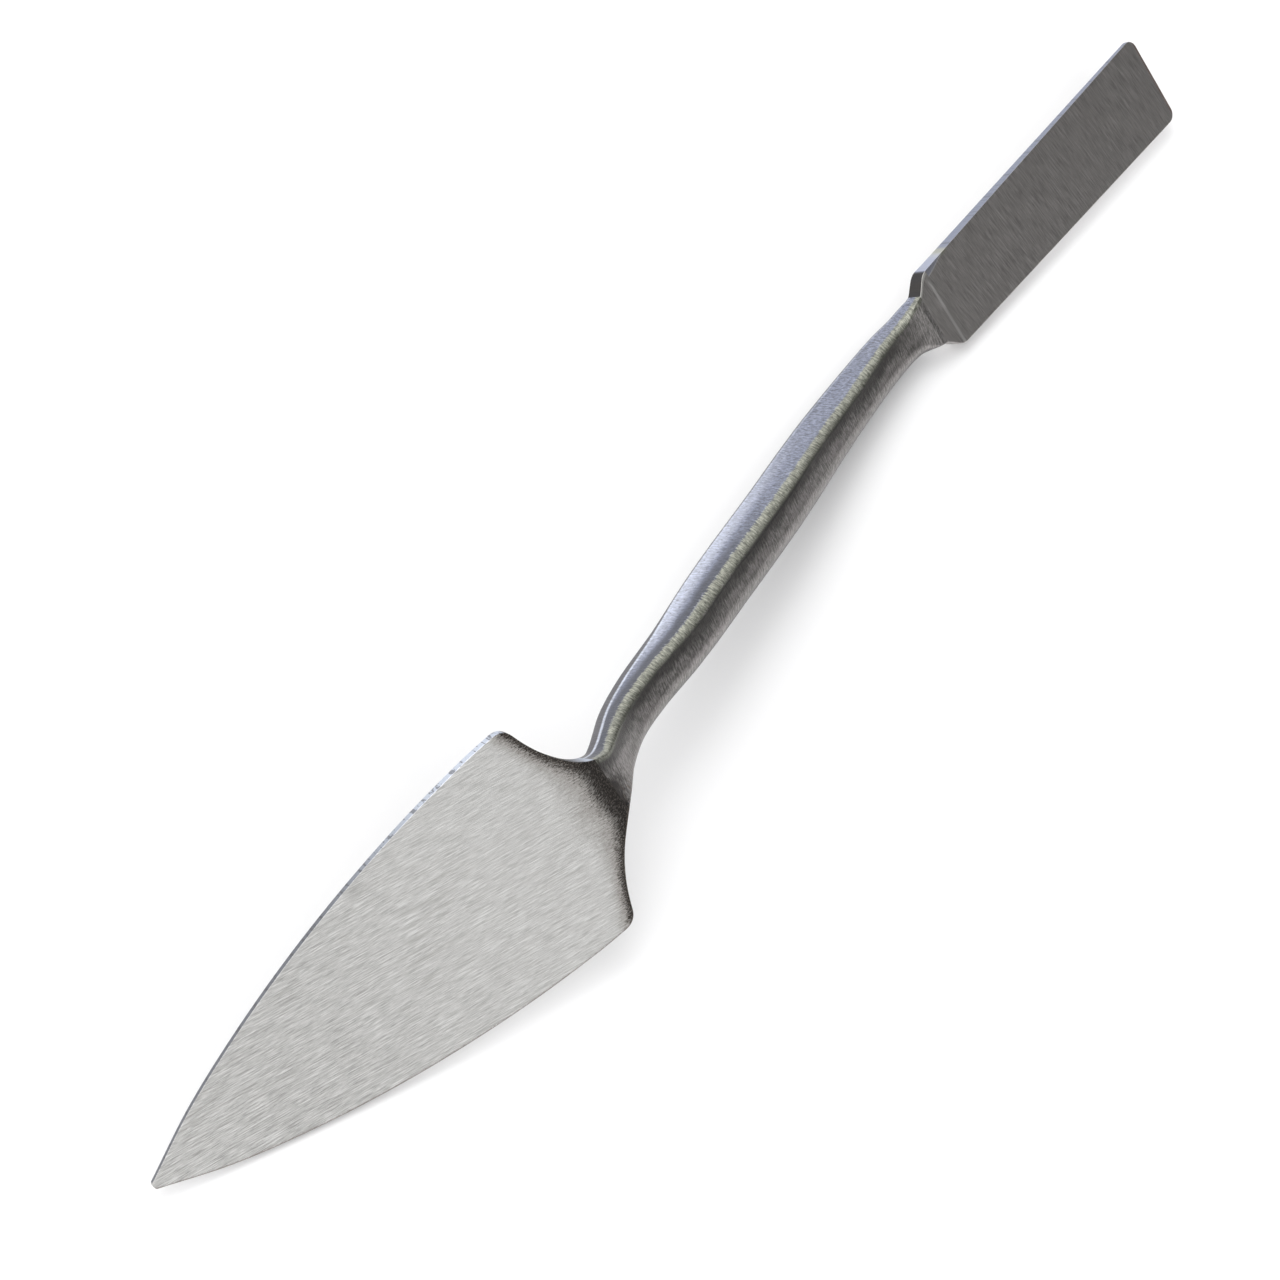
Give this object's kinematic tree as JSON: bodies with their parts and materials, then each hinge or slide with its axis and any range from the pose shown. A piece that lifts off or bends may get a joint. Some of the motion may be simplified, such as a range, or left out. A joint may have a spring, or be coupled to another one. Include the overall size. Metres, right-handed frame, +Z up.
{
  "type": "double-ended plasterer's small tool",
  "caption": "One-piece forged steel small tool with a leaf-shaped trowel blade at one end, a cranked square-section handle and a narrow square-ended blade at the other.",
  "frame": {"origin": "on the table, under the middle of the tool's box as it rests on its right edge", "axes": "+Z up from the table that the tool lies on; +X along the tool, from the trowel's tip to the square end; the working faces look up and towards -Y"},
  "size_m": [0.2564, 0.034, 0.0312],
  "materials": {
    "trowel_steel": "bright linished face with fine slanting scratches, burnt dark along the heel",
    "forged_steel": "ground forging, mid grey, brushed across its length, with bright edges",
    "square_steel": "satin dark grey with fine straight brush lines"
  },
  "bodies": {
    "root": {"trowel_blade": "trowel_steel", "trowel_neck": "forged_steel", "handle": "forged_steel", "square_neck": "forged_steel", "square_blade": "square_steel"}
  },
  "joints": []
}
